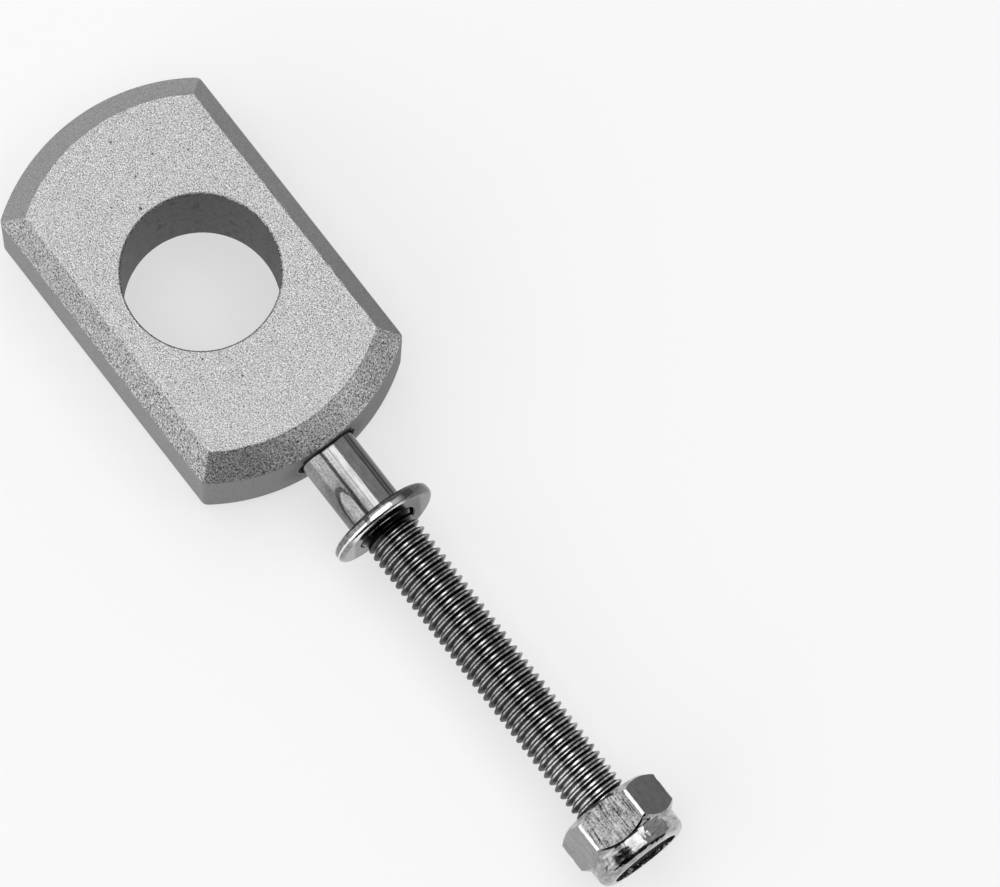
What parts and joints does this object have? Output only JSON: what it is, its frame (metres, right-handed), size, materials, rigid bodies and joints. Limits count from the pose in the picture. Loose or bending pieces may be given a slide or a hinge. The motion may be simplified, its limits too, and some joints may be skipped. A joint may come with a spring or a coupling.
{
  "type": "motorcycle chain adjuster",
  "caption": "Bevelled steel block with an axle bore and a threaded stud, a sprung washer and a nylon lock nut, which pulls a motorcycle's rear axle back to tighten the chain.",
  "frame": {"origin": "where the axle bore's axis crosses the stud's axis, at the middle of the block", "axes": "+X out along the stud, +Z along the axle bore, +Y across the block"},
  "size_m": [0.1572, 0.042, 0.026],
  "materials": {
    "blasted_zinc": "blasted and zinc plated, matt, with fine pits",
    "polished_stud": "polished plate over a rolled thread",
    "polished_washer": "polished plate",
    "zinc_nut": "zinc plated, lightly scratched along its flats",
    "nylon": "plain nylon"
  },
  "bodies": {
    "block": {"adjuster_block": "blasted_zinc", "adjuster_stud": "polished_stud"},
    "washer": {"lock_washer": "polished_washer"},
    "nut_carriage": {"nut_insert": "nylon"},
    "nut": {"lock_nut": "zinc_nut"}
  },
  "joints": [
    {"name": "washer_slide", "type": "slide", "parent": "block", "child": "washer", "axis": [1, 0, 0], "range_m": [-0.0132, 0.00195]},
    {"name": "nut_travel", "type": "slide", "parent": "block", "child": "nut_carriage", "axis": [1, 0, 0], "range_m": [-0.0555, 0]},
    {"name": "nut_turn", "type": "hinge", "parent": "nut_carriage", "child": "nut", "pos_m": [0.1163, 0, 0], "axis": [1, 0, 0], "range_deg": [-13320, 0]}
  ],
  "couplings": [
    {"joint": "nut_travel", "follows": "nut_turn", "m_per_rad": 0.00023873}
  ]
}
